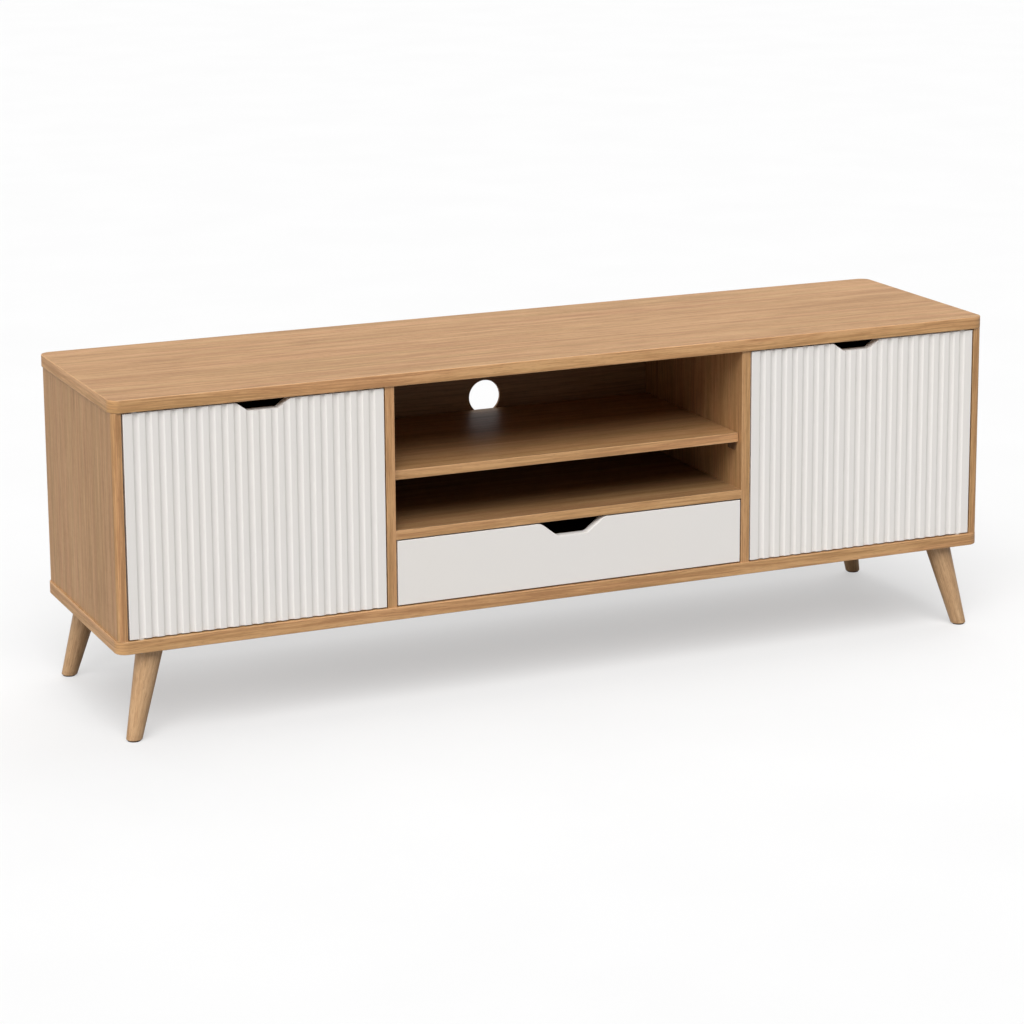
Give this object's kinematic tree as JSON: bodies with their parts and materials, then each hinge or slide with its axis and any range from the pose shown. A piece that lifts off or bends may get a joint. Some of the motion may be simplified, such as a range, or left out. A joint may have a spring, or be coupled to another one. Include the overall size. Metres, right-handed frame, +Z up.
{
  "type": "media cabinet",
  "caption": "Long, low media cabinet with fluted white doors, an open middle bay with shelves over a drawer, an oak carcass and splayed, tapered legs.",
  "frame": {"origin": "on the floor, under the middle of the cabinet", "axes": "+X along the cabinet to the right of someone who faces its doors, +Y to its back, +Z up"},
  "size_m": [1.5, 0.39, 0.53],
  "materials": {
    "oak_board": "satin oak grain along the board",
    "oak_upright": "satin oak grain, upright",
    "oak_leg": "satin clear-coated turned wood",
    "back_board": "matt printed oak on thin fibreboard",
    "white_lacquer": "satin white lacquer on fibreboard",
    "drawer_board": "matt oak-print foil on board",
    "beech_dowel": "raw beech",
    "zinc_steel": "bright zinc-plated steel",
    "zinc_casting": "as-cast zinc",
    "magnet": "dark ground ferrite",
    "white_nylon": "moulded nylon",
    "brown_plastic": "brown moulded plastic",
    "dark_plastic": "dark moulded plastic"
  },
  "bodies": {
    "carcass": {"top_panel": "oak_board", "bottom_panel": "oak_board", "left_side_panel": "oak_upright", "right_side_panel": "oak_upright", "left_divider": "oak_upright", "right_divider": "oak_upright", "fixed_shelf": "oak_board", "adjustable_shelf": "oak_board", "left_back_board": "back_board", "centre_back_board": "back_board", "right_back_board": "back_board", "shelf_supports": "brown_plastic", "front_left_leg": "oak_leg", "front_right_leg": "oak_leg", "back_left_leg": "oak_leg", "back_right_leg": "oak_leg", "leg_plates": "zinc_steel", "leg_plate_screws": "zinc_steel", "leg_bolts": "zinc_steel", "foot_glides": "dark_plastic", "carcass_cams": "zinc_casting", "carcass_cam_bolts": "zinc_steel", "carcass_dowels": "beech_dowel", "left_cabinet_runner": "zinc_steel", "right_cabinet_runner": "zinc_steel", "cabinet_runner_screws": "zinc_steel", "left_pivot_bushes": "white_nylon", "right_pivot_bushes": "white_nylon", "left_catch_body": "white_nylon", "right_catch_body": "white_nylon", "left_catch_magnet": "magnet", "right_catch_magnet": "magnet", "catch_screws": "zinc_steel"},
    "drawer": {"drawer_front": "white_lacquer", "drawer_left_side": "drawer_board", "drawer_right_side": "drawer_board", "drawer_back": "drawer_board", "drawer_bottom": "drawer_board", "left_drawer_runner": "zinc_steel", "right_drawer_runner": "zinc_steel", "drawer_runner_screws": "zinc_steel", "drawer_cams": "zinc_casting", "drawer_cam_bolts": "zinc_steel", "drawer_box_screws": "zinc_steel"},
    "left_door": {"left_door": "white_lacquer", "left_door_upper_pivot": "zinc_steel", "left_door_lower_pivot": "zinc_steel", "left_door_screws": "zinc_steel", "left_strike_plate": "zinc_steel"},
    "left_middle_runner": {"left_middle_runner": "zinc_steel"},
    "right_door": {"right_door": "white_lacquer", "right_door_upper_pivot": "zinc_steel", "right_door_lower_pivot": "zinc_steel", "right_door_screws": "zinc_steel", "right_strike_plate": "zinc_steel"},
    "right_middle_runner": {"right_middle_runner": "zinc_steel"}
  },
  "joints": [
    {"name": "left_door_hinge", "type": "hinge", "parent": "carcass", "child": "left_door", "pos_m": [-0.7115, -0.184, 0.335], "axis": [0, 0, -1], "range_deg": [0, 110]},
    {"name": "right_door_hinge", "type": "hinge", "parent": "carcass", "child": "right_door", "pos_m": [0.7115, -0.184, 0.335], "axis": [0, 0, 1], "range_deg": [0, 110]},
    {"name": "drawer_slide", "type": "slide", "parent": "carcass", "child": "drawer", "axis": [0, -1, 0], "range_m": [0, 0.26]},
    {"name": "left_runner_slide", "type": "slide", "parent": "carcass", "child": "left_middle_runner", "axis": [0, -1, 0], "range_m": [0, 0.13]},
    {"name": "right_runner_slide", "type": "slide", "parent": "carcass", "child": "right_middle_runner", "axis": [0, -1, 0], "range_m": [0, 0.13]}
  ],
  "couplings": [
    {"joint": "left_runner_slide", "follows": "drawer_slide", "ratio": 0.5},
    {"joint": "right_runner_slide", "follows": "drawer_slide", "ratio": 0.5}
  ]
}
